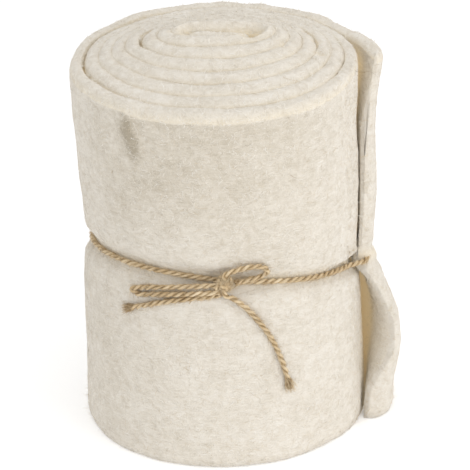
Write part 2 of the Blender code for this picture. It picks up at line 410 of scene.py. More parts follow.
class Finish:
    """One material. Its nodes come from node(), and its shader is the Principled one."""

    def __init__(self, name, roughness):
        self.material = bpy.data.materials.new(name)
        self.material.use_nodes = True
        self.tree = self.material.node_tree
        self.shader = self.tree.nodes["Principled BSDF"]
        self.shader.inputs["Roughness"].default_value = roughness

    def node(self, kind, settings=None, sockets=None):
        made = self.tree.nodes.new(kind)
        for name, value in (settings or {}).items():
            if name == "stops":
                self.set_stops(made.color_ramp, value)
            else:
                setattr(made, name, value)
        for name, value in (sockets or {}).items():
            self.feed(made.inputs[name], value)
        return made

    @staticmethod
    def set_stops(ramp, stops):
        while len(ramp.elements) < len(stops):
            ramp.elements.new(0.5)
        for element, (place, colour) in zip(ramp.elements, stops):
            element.position = place
            element.color = (*colour, 1.0)

    def feed(self, socket, value):
        if isinstance(value, Level):
            value = value.socket
        if isinstance(value, bpy.types.NodeSocket):
            self.tree.links.new(value, socket)
        else:
            socket.default_value = value

    def level(self, socket):
        return Level(self.tree, socket)

    def speckle(self, vector, scale, detail, roughness, distortion=0.0):
        sockets = {
            "Vector": vector,
            "Scale": scale,
            "Detail": detail,
            "Roughness": roughness,
            "Distortion": distortion,
        }
        return self.level(self.node("ShaderNodeTexNoise", None, sockets).outputs["Fac"])

    def stretched(self, vector, turn, stretch):
        """The same places, turned and drawn out, so that a pattern there runs in streaks."""
        sockets = {"Vector": vector, "Rotation": (0.0, 0.0, math.radians(turn)), "Scale": stretch}
        return self.node("ShaderNodeMapping", None, sockets).outputs["Vector"]

    def colours(self, amount, stops):
        return self.node("ShaderNodeValToRGB", {"stops": stops}, {0: amount}).outputs["Color"]

    def sheltered(self, colour, amount):
        """Mixes in the warm tan tone painted where shade and bounced light fall between the turns."""
        sockets = {"Fac": amount, "Color1": colour, "Color2": (*PAINTED_CREVICE_TONE, 1.0)}
        return self.node("ShaderNodeMixRGB", None, sockets).outputs["Color"]

    def bump(self, height, strength, distance):
        sockets = {"Height": height, "Strength": strength, "Distance": distance}
        self.feed(self.shader.inputs["Normal"], self.node("ShaderNodeBump", None, sockets).outputs["Normal"])


def felt_finish():
    felt = Finish("wool_felt", 0.95)
    felt.shader.inputs["Specular IOR Level"].default_value = 0.2
    felt.shader.inputs["Sheen Weight"].default_value = 0.2
    felt.shader.inputs["Sheen Roughness"].default_value = 0.6
    places = felt.node("ShaderNodeTexCoord").outputs["Object"]
    flat = felt.node("ShaderNodeTexCoord").outputs["UV"]
    cloudy = felt.speckle(places, 55.0, 4.0, 0.6)
    mottled = felt.speckle(places, 330.0, 4.0, 0.62, 0.6)
    tangle = felt.speckle(places, 950.0, 3.0, 0.6, 1.6)
    one_way = felt.speckle(felt.stretched(flat, 28.0, (260.0, 1500.0, 1.0)), 1.0, 2.0, 0.5, 0.9)
    other_way = felt.speckle(felt.stretched(flat, -41.0, (240.0, 1400.0, 1.0)), 1.0, 2.0, 0.5, 0.9)
    level_way = felt.speckle(felt.stretched(flat, 4.0, (110.0, 800.0, 1.0)), 1.0, 2.0, 0.5, 0.5)
    fibres = one_way * 0.5 + other_way * 0.5
    # Painted shade: the shade painted on the points darkens the colour.
    dark = felt.level(felt.node("ShaderNodeAttribute", {"attribute_name": "dark"}).outputs["Fac"])
    tone = cloudy * 0.22 + mottled * 0.38 + tangle * 0.15 + fibres * 0.25 - dark * 0.35
    stops = (
        (0.16, (0.43, 0.375, 0.285)),
        (0.32, (0.63, 0.57, 0.47)),
        (0.50, (0.785, 0.73, 0.64)),
        (0.66, (0.89, 0.85, 0.78)),
    )
    # Painted crevice light: between the turns the colour is painted warm tan, as shade and bounced light
    # would colour it.
    sheltered = felt.node("ShaderNodeAttribute", {"attribute_name": "sheltered"}).outputs["Fac"]
    felt.feed(felt.shader.inputs["Base Color"], felt.sheltered(felt.colours(tone, stops), sheltered))
    # Painted light: a faint glow painted into the gaps between the turns keeps their shade from being black.
    glow = felt.colours(sheltered, ((0.30, (0.0, 0.0, 0.0)), (1.0, PAINTED_CREVICE_GLOW)))
    felt.feed(felt.shader.inputs["Emission Color"], glow)
    felt.shader.inputs["Emission Strength"].default_value = 1.0
    felt.bump(mottled * 0.9 + tangle * 0.5 + fibres * 0.8 + level_way * 0.35, 0.55, 0.0009)
    return felt.material


def jute_finish():
    jute = Finish("jute_twine", 0.72)
    jute.shader.inputs["Specular IOR Level"].default_value = 0.35
    flat = jute.node("ShaderNodeTexCoord").outputs["UV"]
    places = jute.node("ShaderNodeTexCoord").outputs["Object"]
    streaks = jute.speckle(jute.stretched(flat, 0.0, (260.0, 9.0, 1.0)), 1.0, 3.0, 0.6, 0.5)
    threads = jute.speckle(jute.stretched(flat, 0.0, (700.0, 26.0, 1.0)), 1.0, 2.0, 0.5, 0.3)
    patches = jute.speckle(places, 160.0, 3.0, 0.6)
    # Painted shade: the grooves between the plies are painted darker, the outsides of the plies lighter.
    outside = jute.level(jute.node("ShaderNodeAttribute", {"attribute_name": "outside"}).outputs["Fac"])
    tone = streaks * 0.34 + threads * 0.25 + patches * 0.36 + outside * 0.27 - 0.17
    stops = (
        (0.20, (0.13, 0.07, 0.025)),
        (0.36, (0.38, 0.26, 0.13)),
        (0.50, (0.62, 0.465, 0.27)),
        (0.66, (0.86, 0.73, 0.52)),
    )
    jute.feed(jute.shader.inputs["Base Color"], jute.colours(tone, stops))
    jute.bump(streaks * 0.6 + threads * 0.8, 0.8, 0.0003)
    return jute.material


def fibre_finish(name, roughness, gloss, stops):
    """Loose fibres, each of one shade, which its place across the UV map gives."""
    fibre = Finish(name, roughness)
    fibre.shader.inputs["Specular IOR Level"].default_value = gloss
    flat = fibre.node("ShaderNodeTexCoord").outputs["UV"]
    shade = fibre.node("ShaderNodeSeparateXYZ", None, {0: flat}).outputs["Y"]
    fibre.feed(fibre.shader.inputs["Base Color"], fibre.colours(shade, stops))
    return fibre.material


WOOL = felt_finish()
WOOL_SHADES = (
    # The lowest, tan shade is painted crevice light, for the fibres in the gaps.
    (0.0, (0.72, 0.58, 0.37)),
    (0.3, (0.70, 0.62, 0.50)),
    (0.6, (0.84, 0.79, 0.70)),
    (1.0, (0.95, 0.92, 0.87)),
)
WOOL_FIBRE = fibre_finish("wool_fibre", 0.8, 0.3, WOOL_SHADES)
JUTE = jute_finish()
JUTE_SHADES = (
    (0.0, (0.26, 0.15, 0.06)),
    (0.45, (0.50, 0.36, 0.19)),
    (1.0, (0.80, 0.68, 0.48)),
)
JUTE_FIBRE = fibre_finish("jute_fibre", 0.6, 0.5, JUTE_SHADES)


# The twine.

PLIES = 2
PLY_RADIUS = 0.59
PLY_FROM_MIDDLE = 0.45
LAY_LENGTH = 6.6
PLY_SIDES = 9
RING_SPACING = 0.42
PLY_WANDER = 0.35
PLY_ROUGHNESS = 0.10
PLY_BUMPS = 0.09
HAIRS_A_RING = 5.5
FIBRES_AT_AN_END = 260
FLUFF_FIBRES = 420
FLUFF_RADIUS = 2.9
KNOT_STEPS = 12
FRAYED = {
    # length, spread, shade, seed
    "jute_tail_left": (6.2, 0.55, (0.15, 0.78), 31),
    "jute_tail_right": (6.6, 0.42, (0.3, 1.0), 32),
}


def twine_height(angle):
    """How high the twine's groove runs round the roll at this angle."""
    return TWINE_MID_HEIGHT + TWINE_TILT * np.cos(np.radians(angle - TWINE_HIGH_ANGLE))


def band_route():
    points = []
    for angle, radius in BAND_ROUTE:
        turn = math.radians(angle)
        points.append((radius * math.cos(turn), radius * math.sin(turn), twine_height(angle)))
    return points


def smooth_route(route, spacing):
    """Evenly spaced places on the smooth curve through points that are counted from the roll's axis."""
    points = np.array(route) + AXIS
    before = 2 * points[0] - points[1]
    after = 2 * points[-1] - points[-2]
    knots = np.vstack([before, points, after])
    parts = np.linspace(0.0, 1.0, 24, endpoint=False)[:, None]
    fine = []
    for a, b, c, d in zip(knots, knots[1:], knots[2:], knots[3:]):
        bend = 2 * b + (c - a) * parts + (2 * a - 5 * b + 4 * c - d) * parts**2
        fine.append((bend + (3 * b - a - 3 * c + d) * parts**3) / 2)
    fine = np.vstack(fine + [points[-1:]])
    along = distances_along(fine)
    places = np.linspace(0.0, along[-1], max(round(along[-1] / spacing), 2) + 1)
    return np.column_stack([np.interp(places, along, fine[:, axis]) for axis in range(3)])


def carried_frames(path):
    """Two directions across the path at each of its points, carried along it without twisting."""
    ahead = unit(np.gradient(path, axis=0))
    side = np.cross(ahead[0], (0.0, 0.0, 1.0))
    if np.linalg.norm(side) < 0.1:
        side = np.cross(ahead[0], (0.0, 1.0, 0.0))
    sides = []
    for direction in ahead:
        side = side - direction * np.dot(side, direction)
        side = side / np.linalg.norm(side)
        sides.append(side)
    sides = np.array(sides)
    return sides, np.cross(ahead, sides)


def tube(path, radii, sides, start_angle):
    """Rings of points round a path."""
    side, over = carried_frames(path)
    turns = np.linspace(0.0, math.tau, sides, endpoint=False) + start_angle
    ring = side[:, None] * np.cos(turns)[None, :, None] + over[:, None] * np.sin(turns)[None, :, None]
    return path[:, None] + ring * radii[:, None, None]


def twisted(route, start):
    """Plies laid round each other along a route.

    Gives their points, faces and places, how far out from the twine's middle each point is, from 0 to 1, and
    the twine's middle line.
    """
    middle = smooth_route(route, RING_SPACING)
    side, over = carried_frames(middle)
    along = distances_along(middle)
    none = along * 0.0
    around = np.arange(PLY_SIDES) / PLY_SIDES * math.tau * PLY_RADIUS
    points, faces, places, depths = [], [], [], []
    first = 0
    for ply in range(PLIES):
        wander = PLY_WANDER * lumps(np.column_stack([along, none + 31.0 * ply, none]), 9.0, 5)
        turn = start + math.tau * (ply / PLIES) - math.tau * along / LAY_LENGTH + wander
        reach = PLY_FROM_MIDDLE * (side * np.cos(turn)[:, None] + over * np.sin(turn)[:, None])
        path = middle + reach
        rough = 1.0 + PLY_ROUGHNESS * lumps(np.column_stack([along, none + 7.0 * ply, none]), 2.6, 6)
        ring = tube(path, PLY_RADIUS * rough, PLY_SIDES, -2.0 * turn[0])
        offset = ring - path[:, None]
        bumpy = 1.0 + PLY_BUMPS * lumps(ring.reshape(-1, 3), 0.7, 8).reshape(ring.shape[:2])
        ring = path[:, None] + offset * bumpy[:, :, None]
        place = np.stack(np.broadcast_arrays(around[None, :] * MM, along[:, None] * MM), axis=-1)
        beyond = np.linalg.norm(ring - middle[:, None], axis=-1)
        depths += [eased(0.30, 0.95, beyond).ravel(), np.ones(2)]
        ways = unit(np.gradient(path, axis=0))[[0, -1]] * np.array([[-1.0], [1.0]])
        tips = path[[0, -1]] + ways * PLY_RADIUS * 0.5
        points += [ring.reshape(-1, 3), tips]
        places += [place.reshape(-1, 2), np.zeros((2, 2))]
        faces += tube_faces(len(path), PLY_SIDES, first)
        first += len(path) * PLY_SIDES + 2
    return np.vstack(points), faces, np.vstack(places), np.concatenate(depths), middle


def tube_faces(rings, sides, first):
    """Faces between the rings, and a fan at each end to the two points that follow the rings."""
    index = first + np.arange(rings * sides).reshape(rings, sides)
    tip = first + rings * sides
    start = [(int(b), int(a), tip) for a, b in zip(index[0], np.roll(index[0], -1))]
    end = [(int(a), int(b), tip + 1) for a, b in zip(index[-1], np.roll(index[-1], -1))]
    return ring_faces(index) + start + end


def twine_mesh(name, lengths):
    """One object of one or more twisted lengths."""
    points, faces, places, depths, _ = zip(*lengths)
    corners, first = [], 0
    for own_points, own_faces in zip(points, faces):
        corners += [tuple(first + corner for corner in face) for face in own_faces]
        first += len(own_points)
    mesh = bpy.data.meshes.new(name)
    mesh.from_pydata((np.vstack(points) * MM).tolist(), [], corners)
    # How far out each point lies; the finish turns it into painted shade between the plies.
    keep_on_points(mesh, "outside", np.concatenate(depths))
    return placed(name, mesh, np.vstack(places), JUTE)


def jute_fibres(name, starts, ways, bends, length, width, shade, chance, steps=5):
    count = len(starts)
    kinks = chance.normal(0.0, 0.04, (count, 3))
    flats = unit(np.cross(ways, chance.normal(size=(count, 3))))
    sizes = drawn(chance, count, length, width, shade)
    made = strands(name, starts, ways, bends, kinks, flats, *sizes, steps, JUTE_FIBRE)
    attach(made, "root")
    return made


def frayed_end(name, middle, length, spread, shade, seed):
    """The fibres of a cut twine, drawn in where it was cut and fanned out past that."""
    chance = np.random.default_rng(seed)
    column = (FIBRES_AT_AN_END, 1)
    ahead = unit(middle[-1] - middle[-4])
    random = chance.normal(size=(FIBRES_AT_AN_END, 3))
    aside = unit(random - ahead * (random @ ahead)[:, None]) * np.sqrt(chance.random(column))
    starts = middle[-1] - ahead * chance.uniform(0.2, 1.6, column) + aside * 0.7
    ways = unit(ahead + aside * spread)
    bends = aside * chance.uniform(-1.1, 0.1, column) * spread + np.array([0.0, 0.0, -0.05])
    return jute_fibres(name, starts, ways, bends, (0.55 * length, length), (0.10, 0.20), shade, chance)


def hairs_on_twine(middles):
    """Fibres that lie along the plies or stand off them."""
    chance = np.random.default_rng(41)
    starts, ways, outs = [], [], []
    for middle in middles:
        side, over = carried_frames(middle)
        ahead = unit(np.gradient(middle, axis=0))
        picked = chance.integers(0, len(middle), int(len(middle) * HAIRS_A_RING * SHARE_OF_FUZZ))
        angle = chance.uniform(0.0, math.tau, (len(picked), 1))
        out = side[picked] * np.cos(angle) + over[picked] * np.sin(angle)
        starts.append(middle[picked] + out * 0.88)
        ways.append(ahead[picked] - np.cross(ahead[picked], out) * 0.6)
        outs.append(out)
    starts, ways, outs = np.vstack(starts), np.vstack(ways), np.vstack(outs)
    stands_off = chance.random((len(starts), 1)) < 0.25
    stands = np.where(stands_off, chance.uniform(0.3, 1.2, (len(starts), 1)), 0.08)
    ways = unit(unit(ways) + outs * stands)
    bends = outs * (-0.25 - 0.35 * stands) + chance.normal(0.0, 0.16, starts.shape)
    return jute_fibres("twine_hairs", starts, ways, bends, (1.0, 3.6), (0.07, 0.14), (0.1, 1.0), chance, 4)


def fluff_on_knot():
    """The loose pale fibres that cover the knot."""
    chance = np.random.default_rng(43)
    x, y, z = KNOT_AT
    centre = np.array([x - 1.0, y - 0.6, z + 1.6]) + AXIS
    out = unit(chance.normal(size=(FLUFF_FIBRES, 3)) * (1.0, 0.6, 1.0) + (0.0, -0.7, 0.0))
    starts = centre + out * FLUFF_RADIUS
    level = unit(np.cross(out, chance.normal(size=out.shape)))
    ways = unit(level + out * chance.uniform(0.0, 0.5, (FLUFF_FIBRES, 1)))
    bends = -out * 0.5 + chance.normal(0.0, 0.35, out.shape)
    jute_fibres("knot_fluff", starts, ways, bends, (1.4, 4.6), (0.07, 0.15), (0.55, 1.0), chance)


def declare_cord(piece, middle, node):
    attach(piece, "root")
    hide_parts(node)
    tuple(middle[0] * MM)
    (middle * MM).tolist()


def all_twine():
    rows = (
        # name, route, start angle, CAD node, far end, lay
        ("jute_band", band_route(), 0.0, "twine_band", "object", "taut"),
        ("jute_loop_left", LEFT_LOOP_ROUTE, 1.0, "bow_loop_left", "object", "loose"),
        ("jute_loop_right", RIGHT_LOOP_ROUTE, 2.2, "bow_loop_right", "object", "loose"),
        ("jute_tail_left", LEFT_TAIL_ROUTE, 0.4, "tail_left", "bare", "loose"),
        ("jute_tail_right", RIGHT_TAIL_ROUTE, 2.8, "tail_right", "bare", "loose"),
    )
    middles = []
    for name, route, start, node, far_end, lay in rows:
        length = twisted(route, start)
        *_, middle = length
        middles.append(middle)
        pieces = [frayed_end(name + "_end", middle, *FRAYED[name])] if name in FRAYED else []
        declare_cord(twine_mesh(name, [length]), middle, node)
    hairs_on_twine(middles)


def swung(angle, first, second):
    """Two distances across each other, after both are turned by this angle."""
    return (
        first * math.cos(angle) - second * math.sin(angle),
        first * math.sin(angle) + second * math.cos(angle),
    )


def knot_wrap(at, half_sizes, lean, turned):
    """A route once round the knot, from behind it and back. It leans, and is turned about the upright."""
    along, deep, high = half_sizes
    route = []
    for step in range(KNOT_STEPS + 1):
        angle = math.radians(60.0 + 330.0 * step / KNOT_STEPS)
        drift = along * (step / KNOT_STEPS - 0.5)
        side, up = swung(-math.radians(lean), drift, high * math.cos(angle))
        side, out = swung(math.radians(turned), side, deep * math.sin(angle))
        route.append((at[0] + side, at[1] - out, at[2] + up))
    return route


def bow_knot():
    """Two turns of twine round the crossing, a third across them, and the strand that becomes a tail."""
    x, y, z = KNOT_AT
    wraps = (
        # middle, half sizes, lean, turned by, start angle
        ((x - 2.3, y - 0.2, z + 1.6), (0.8, 2.3, 2.6), 38.0, 8.0, 0.3),
        ((x - 0.2, y - 0.3, z + 1.2), (0.8, 2.4, 2.7), 24.0, -4.0, 1.9),
        ((x - 0.9, y - 0.5, z + 1.9), (0.6, 2.7, 2.2), -52.0, 0.0, 0.9),
    )
    into_tail = (
        (x - 1.4, y - 1.5, z),
        (x - 1.2, y - 2.4, z - 1.2),
        (x - 0.5, y - 2.3, z - 2.7),
        (x + 1.3, y - 1.5, z - 4.0),
    )
    lengths = [twisted(knot_wrap(at, sizes, lean, by), start) for at, sizes, lean, by, start in wraps]
    lengths.append(twisted(into_tail, 2.6))
    knot = twine_mesh("jute_knot", lengths)
    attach(knot, "root")
    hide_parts("twine_knot")


all_twine()
bow_knot()
fluff_on_knot()


# The felt.


def angle_of(turn):
    """Degrees, counter-clockwise from +X, between -180 and 180."""
    return (-360.0 * turn + 180.0) % 360.0 - 180.0


def off_angle(angle, centre):
    """Degrees from centre on to angle, between -180 and 180."""
    return (angle - centre + 180.0) % 360.0 - 180.0


def rise(turn):
    """How far a turn stands up above the outermost ones."""
    return MIDDLE_RISE * np.maximum(0.0, 1.0 - turn / LEVEL_FROM_TURN)


def rim_height(turn):
    wave = RIM_WAVE * np.cos(np.radians(angle_of(turn) - RIM_HIGH_ANGLE))
    return BAND_HEIGHT + rise(turn) + wave * np.minimum(turn / LEVEL_FROM_TURN, 1.0)


def rim_drop(turn, across):
    """How far below its crest the top of the felt is, between its inner face, -1, and its outer one, 1.

    The top slopes towards the next turn outwards, which stands lower, and dips into a groove where turns
    meet. The outermost turn is rounded over.
    """
    off = np.abs(across)
    inner_step = (rise(turn - 1.0) - rise(turn)) / 2 * eased(0.9, 1.3, turn)
    outer_step = (rise(turn) - rise(turn + 1.0)) / 2
    slope = np.where(across < 0, -inner_step, outer_step) * off
    core = 1.0 - eased(1.0, 1.5, turn)
    valley = np.sin(off * math.pi / 2) ** 2
    groove = (RIM_GROOVE + (CORE_GROOVE - RIM_GROOVE) * core * (across < 0)) * valley
    groove = groove + START_DIP * (1.0 - eased(FIRST_TURN, 0.62, turn))
    groove = groove + EDGE_DIP * np.maximum(0.0, (off - 0.74) / 0.26) ** 2
    exposed = eased(OUTERMOST_FROM, 7.12, turn) * (across > 0)
    rounded = OUTER_ROUND * (1.0 - np.sqrt(np.maximum(0.0, 1.0 - off**2.3)))
    return (slope + groove) * (1.0 - exposed) + rounded * exposed


def pit_drop(points):
    """How far down the felt's top lies at the ends of the innermost fold and at a few loose places."""
    drop = 0.0
    place = points - AXIS
    for x, y, radius, depth in PITS:
        off = (place[..., 0] - x) ** 2 + ((place[..., 1] - y) * 1.3) ** 2
        drop = drop + depth * np.exp(-off / radius**2)
    return drop


def push(edge, height, outer_face):
    """How far loose places in the winding push this edge of a turn outwards."""
    angle = angle_of(edge)
    total = 0.0
    for turn, centre, half_width, opening, depth, fade in LOOSE_PLACES:
        off_centre = np.abs(off_angle(angle, centre))
        window = 1.0 - eased(0.35 * half_width, half_width, off_centre)
        from_rim = 1.0 - eased(0.2 * depth, depth, BAND_HEIGHT - height)
        fading = np.maximum(0.0, 1.0 - np.maximum(0.0, edge - turn) / fade)
        outside = edge - turn - (0.25 if outer_face else -0.25) >= 0.0
        total = total + outside * opening * window * from_rim * fading
    return LOOSE_SHARE * total


def free_end_lift(turn, height):
    """How far the free end stands off the roll."""
    up = np.clip(height / BAND_HEIGHT, 0.0, 1.0)
    start = LIFT_STARTS_LOW + (LIFT_STARTS_HIGH - LIFT_STARTS_LOW) * up
    end = LIFT_ENDS_LOW + (LIFT_ENDS_HIGH - LIFT_ENDS_LOW) * up
    return read_table(FREE_END, height, 1) * eased(start, end, turn)


def covered_twine(edge, height):
    """Beside its free end the felt has closed over the twine that pinches it."""
    angle = angle_of(edge)
    off_twine = (height - twine_height(angle)) / COVERED_HALF_HEIGHT
    window = eased(-24.0, -17.0, angle) * (1.0 - eased(4.0, 22.0, angle)) * eased(8.6, 8.9, edge)
    return COVERED_DEPTH * window * np.exp(-(off_twine**2))


def sprung_back(edge, height):
    """Just above the twine, in front of the free end, the felt fills the groove again."""
    angle = angle_of(edge)
    off_place = (height - twine_height(angle) - SPRUNG_BACK_ABOVE) / SPRUNG_BACK_HALF_HEIGHT
    window = eased(-46.0, -30.0, angle) * (1.0 - eased(20.0, 40.0, angle))
    window = window * eased(7.6, 7.8, edge) * (1.0 - eased(8.3, 8.5, edge))
    return SPRUNG_BACK * window * np.exp(-(off_place**2))


def felt_face(turn, height, outer_face):
    """Where the felt's inner or outer face is, this many turns along it and this high above the floor."""
    edge = turn + 1.0 if outer_face else turn
    angle = angle_of(edge)
    share = np.minimum(edge / OUTER_EDGE_TURNS, 1.0) ** SWELL_SHARE_POWER
    grow = share * read_table(SWELL, height - twine_height(angle), 1)
    grow = grow + push(edge, height, outer_face)
    overlap = OVERLAP + (INNER_OVERLAP - OVERLAP) * (1.0 - eased(7.3, 7.9, edge))
    grow = grow + (overlap / 2 if outer_face else -overlap / 2)
    grow = grow + free_end_lift(turn, height)
    if outer_face:
        grow = grow + covered_twine(edge, height) + sprung_back(edge, height)
        grow = grow + read_table(FREE_END, height, 2) * eased(THICKENS_FROM, THICKENS_TO, turn)
    half_width = FOLD_HALF_LENGTH + WIDE_PITCH * edge + DRIFT * share + grow
    half_depth = DEEP_PITCH * (edge - 0.5) + grow
    along = math.tau * edge
    centre_x = FOLD_CENTRE_X - DRIFT * share + AXIS_AT[0]
    centre_y = -DEEP_PITCH / 4 + AXIS_AT[1] + BACK_SLACK * share * np.maximum(0.0, -np.sin(along))
    x = centre_x + half_width * np.cos(along)
    y = centre_y - half_depth * np.sin(along)
    return np.stack([x, y, height + 0.0 * x], axis=-1)


OUTER_ROWS = (
    # from share of the height, to share, how many
    (0.0, 0.36, 17),
    (0.38, 0.62, 22),
    (0.64, 1.0, 18),
)
INNER_ROWS = 24
RIM_ROWS = 15
RIM_TOP_ROW = sum(row[2] for row in OUTER_ROWS) + RIM_ROWS // 2
MIDDLE_ROW = 30


def felt_rows():
    """The outline of the felt's section, from its outer foot over the rim to its inner foot.

    Each row is a share of the height between foot and rim, and how far it is from the inner face, -1, to the
    outer one, 1. The third number is above 0 only on the rim.
    """
    outer = np.concatenate([np.linspace(low, high, count) for low, high, count in OUTER_ROWS])
    inner = np.linspace(1.0, 0.0, INNER_ROWS)
    bend = np.linspace(0.0, 1.0, RIM_ROWS + 2)[1:-1]
    share = np.concatenate([outer, np.ones(len(bend)), inner])
    across = np.concatenate([np.ones(len(outer)), np.cos(math.pi * bend), -np.ones(len(inner))])
    over = np.concatenate([np.zeros(len(outer)), np.sin(math.pi * bend), np.zeros(len(inner))])
    return share, across, over


def felt_stations():
    """Closer together on the outermost turn, which shows, and at its end."""
    parts = (
        # from turn, to turn, how many
        (FIRST_TURN, 3.0, 230),
        (3.0, 6.0, 300),
        (6.0, 7.0, 130),
        (7.0, 7.9, 200),
        (7.9, LIP_FROM, 44),
    )
    wound = [np.linspace(low, high, count, endpoint=False) for low, high, count in parts]
    lip = LIP_FROM + (LAST_TURN - LIP_FROM) * np.sin(np.linspace(0.0, 1.0, 22) * math.pi / 2)
    return np.concatenate(wound + [lip])


MM_PER_DEGREE = 0.95
DENTS = (
    # angle, height, half width across, half height, depth in
    (-129.3, 140.6, 3.4, 4.6, 1.4),
    (-126.8, 134.0, 3.4, 5.0, 1.2),
    (-144.7, 136.2, 6.0, 7.0, 0.7),
    (-132.0, 108.0, 9.0, 7.0, 0.4),
    (-74.0, 40.0, 2.2, 13.0, 0.7),
    (-148.0, 55.0, 3.0, 14.0, 0.5),
)
# Painted shade: soft spots painted darker where the dents, creases, the upper front and the left side lie in
# shade.
PAINTED_SHADE_SPOTS = (
    # angle, height, half width across, half height, how much darker, from 0 to 1
    (-129.3, 140.6, 2.8, 4.6, 0.95),
    (-126.8, 134.0, 3.0, 5.4, 0.90),
    (-144.7, 136.2, 4.0, 7.0, 0.30),
    (-110.0, 126.0, 38.0, 25.0, 0.42),
    (-62.0, 118.0, 26.0, 34.0, 0.16),
    (-110.0, 146.5, 30.0, 4.0, 0.16),
    (-82.0, 140.0, 24.0, 7.0, 0.18),
    (-165.0, 50.0, 34.0, 45.0, 0.20),
    (-132.0, 103.0, 9.0, 12.0, 0.14),
    (-147.0, 60.0, 5.0, 20.0, 0.14),
    (-74.0, 40.0, 1.8, 12.0, 0.20),
)


def spot(angle, height, centre, level, half_width, half_height):
    """A soft spot on the side of the roll, 1 at its centre and near 0 well away from it."""
    aside = off_angle(angle, centre) * MM_PER_DEGREE
    return np.exp(-((aside / half_width) ** 2) - ((height - level) / half_height) ** 2)


def painted_shading(turns, height, across, over):
    """Painted shade on the outermost turn, in its dents and creases and on its shaded sides, and in the
    lines between turns on the top.
    """
    angle = angle_of(turns + 1.0)
    dark = 0.0
    for *place, amount in PAINTED_SHADE_SPOTS:
        dark = dark + amount * spot(angle, height, *place)
    dark = dark * (across > 0) * (over <= 0) * (turns > OUTERMOST_FROM)
    meets_next = np.where(across > 0, 1.0 - eased(OUTERMOST_FROM, 7.05, turns), 1.0)
    seam = 0.10 * np.abs(across) ** 4 * (over > 0) * meets_next
    return np.clip(dark + seam, 0.0, 1.0)


def rim_unevenness(turns):
    """Small rises and falls of the top edge, most of all on the outermost turn."""
    along = turns[:, 0] * RIM_RUN
    places = np.column_stack([along, along * 0.0, along * 0.0])
    wavy = 0.45 * lumps(places, 17.0, 3)[:, None] + 0.25 * lumps(places, 6.0, 4)[:, None]
    return wavy * (0.25 + 0.75 * eased(6.95, 7.15, turns))


def section_reach(turns, height, foot, across):
    """How near each face a row lies, from -1 to 1. Foot and free end are rounded, so that rows draw in."""
    tuck = np.clip((height - foot) / FOOT_ROUND, 0.0, 1.0)
    reach = across * (1.0 - FOOT_TUCK * (1.0 - tuck) ** 2)
    near_end = LIP_ROUNDING * np.maximum(0.0, (turns - LIP_FROM) / (LAST_TURN - LIP_FROM))
    lip = read_table(FREE_END, height, 3)
    return lip + (reach - lip) * np.sqrt(1.0 - near_end**2)


def felt_sheet():
    """The felt as a grid of points, with stations along it and rows round its section.

    Gives the points, the direction out of the felt at each, their UVs, how many turns along the felt they
    are, and how much painted crevice light and painted shade they get.
    """
    share, across, over = felt_rows()
    turns = felt_stations()[:, None]
    rim = rim_height(turns) + rim_unevenness(turns)
    foot = rise(turns)
    height = foot + share * (rim - rim_drop(turns, across) - foot)
    part = np.clip((turns - END_SLANT_FROM) / (LAST_TURN - END_SLANT_FROM), 0.0, 1.0)
    at = turns - END_SLANT * part * height / BAND_HEIGHT
    outer = felt_face(at, height, True)
    inner = felt_face(at, height, False)
    reach = section_reach(turns, height, foot, across)
    points = inner + (outer - inner) * ((reach + 1.0) / 2.0)[..., None]
    along = distances_along((outer[:, MIDDLE_ROW] + inner[:, MIDDLE_ROW]) / 2)
    around = distances_along(points[-1])
    uvs = np.stack(np.broadcast_arrays(along[:, None] * MM, around[None, :] * MM), axis=-1)
    normals = outward(points)
    points = points + normals * unevenness(points, at, height, across, over)[..., None]
    pits = pit_drop(points) * eased(14.0, 3.0, rim - height)
    points[..., 2] = np.maximum(points[..., 2] - pits, 0.0)
    # The pits get painted crevice light as well.
    sheltered = painted_crevice_share(height, turns, across, over, rim) + np.minimum(0.34, 0.3 * pits)
    sheltered = np.clip(sheltered, 0.0, 1.0)
    dark = painted_shading(turns, height, across, over)
    return points, outward(points), uvs, at, sheltered, dark


def outward(points):
    """The direction straight out of the felt at each point of the grid."""
    ahead = np.gradient(points, axis=0)
    up = (np.roll(points, -1, axis=1) - np.roll(points, 1, axis=1)) / 2
    return unit(np.cross(up, ahead) * -1.0)


def unevenness(points, turns, height, across, over):
    """How far the needled surface stands out or lies in."""
    soft = 0.34 * lumps(points, 15.0, 11) + 0.22 * lumps(points, 6.5, 12)
    soft = soft + 0.10 * lumps(points, 2.6, 13)
    shows = np.where(over + 0.0 * soft > 0, 1.0, eased(6.85, 7.1, turns) * (across > 0))
    soft = soft * (0.25 + 0.75 * shows) + 0.14
    angle = angle_of(turns + 1.0)
    outermost = (across > 0) * (turns > 7.0)
    for *place, depth in DENTS:
        soft = soft - outermost * depth * spot(angle, height, *place)
    return soft


def painted_crevice_share(height, turns, across, over, rim):
    """How much painted crevice light a place gets: 1 deep between two turns, where shade falls, and 0 on a
    face that shows.
    """
    below = eased(0.5, 7.0, rim - height)
    end_above = LAST_TURN - 1.0 - END_SLANT * height / BAND_HEIGHT
    under_the_end = 1.0 - eased(end_above - 0.028, end_above + 0.004, turns)
    behind_lip = 1.0 - eased(LIP_FROM - 0.014, LIP_FROM + 0.018, turns)
    covered = np.where(across > 0, under_the_end, behind_lip) * (over <= 0)
    # The grooves between turns on the top and the felt beside the twine get painted crevice light too.
    groove = 0.45 * np.abs(across) ** 4 * (over > 0)
    by_twine = 0.5 * np.exp(-(((height - twine_height(angle_of(turns + 1.0))) / 2.6) ** 2))
    grooves = np.maximum(groove, by_twine * (across > 0))
    return np.clip(np.maximum(covered * (0.25 + 0.75 * below), grooves), 0.0, 1.0)


FELT_POINTS, FELT_OUT, FELT_UVS, FELT_TURNS, FELT_PAINTED_CREVICE_LIGHT, FELT_PAINTED_SHADE = felt_sheet()


